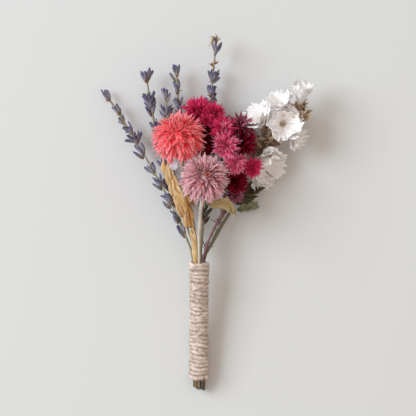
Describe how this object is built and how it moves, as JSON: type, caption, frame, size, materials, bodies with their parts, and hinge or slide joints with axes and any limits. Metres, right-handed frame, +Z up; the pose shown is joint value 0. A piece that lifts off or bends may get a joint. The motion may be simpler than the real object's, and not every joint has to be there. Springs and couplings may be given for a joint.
{
  "type": "dried flower posy",
  "caption": "Small posy of dried lavender with globe amaranth, crimson everlastings and white statice, its stems bound in a jute twine handle.",
  "frame": {"origin": "middle of the bottom of the posy's box, on the surface it lies on", "axes": "+Y along the handle towards the flower heads, +X to the right seen from above, +Z up from the surface"},
  "size_m": [0.098, 0.1654, 0.0376],
  "materials": {
    "coral_bracts": "stiff papery bracts, coral with paler edges",
    "cream_leaf": "curled dry leaf, cream yellow",
    "crimson_petals": "dry papery petals, crimson with pale tips",
    "green_leaf": "dry leaf, olive to sage green, veined",
    "green_stem": "dry stem, grey green",
    "lavender": "dried lavender: grey-violet ribbed calyces on pale stems",
    "lilac_petals": "thin papery petal, lilac white",
    "mauve_stem": "dry stem, mauve brown",
    "pale_stem": "dry stem, pale grey-beige",
    "pink_bracts": "stiff papery bracts, dusty pink with pale edges",
    "straw_husk": "dry grooved husk, straw gold, slightly glossy",
    "twine": "twisted jute twine, dry and slightly hairy",
    "white_petals": "thin crumpled papery petals, white"
  },
  "bodies": {
    "root": {"amaranth_coral_head": "coral_bracts", "amaranth_coral_stem": "pale_stem", "amaranth_pink_head": "pink_bracts", "amaranth_pink_stem": "pale_stem", "everlasting_bright": "crimson_petals", "everlasting_dark": "crimson_petals", "everlasting_far_right": "crimson_petals", "everlasting_lowest": "crimson_petals", "everlasting_middle": "crimson_petals", "everlasting_open_heart": "crimson_petals", "everlasting_pale_eye": "crimson_petals", "everlasting_right_bud": "crimson_petals", "everlasting_star": "crimson_petals", "everlasting_stem": "mauve_stem", "everlasting_top_left": "crimson_petals", "everlasting_top_right": "crimson_petals", "husk_bract": "straw_husk", "husk_brown": "straw_husk", "husk_middle": "straw_husk", "husk_outer": "straw_husk", "lavender_grey": "lavender", "lavender_leaning": "lavender", "lavender_long": "lavender", "lavender_short": "lavender", "lavender_tall": "lavender", "lavender_upright": "lavender", "leaf_cream": "cream_leaf", "leaf_green": "green_leaf", "leaf_sage": "green_leaf", "leaf_stem": "green_stem", "petal_lilac": "lilac_petals", "statice_left": "white_petals", "statice_lower": "white_petals", "statice_lowest": "white_petals", "statice_right": "white_petals", "statice_shaded": "white_petals", "statice_stem": "green_stem", "statice_tip": "white_petals", "statice_upper_left": "white_petals", "statice_wide": "white_petals", "straw_stalk": "straw_husk", "twine_wrap": "twine"}
  },
  "joints": []
}
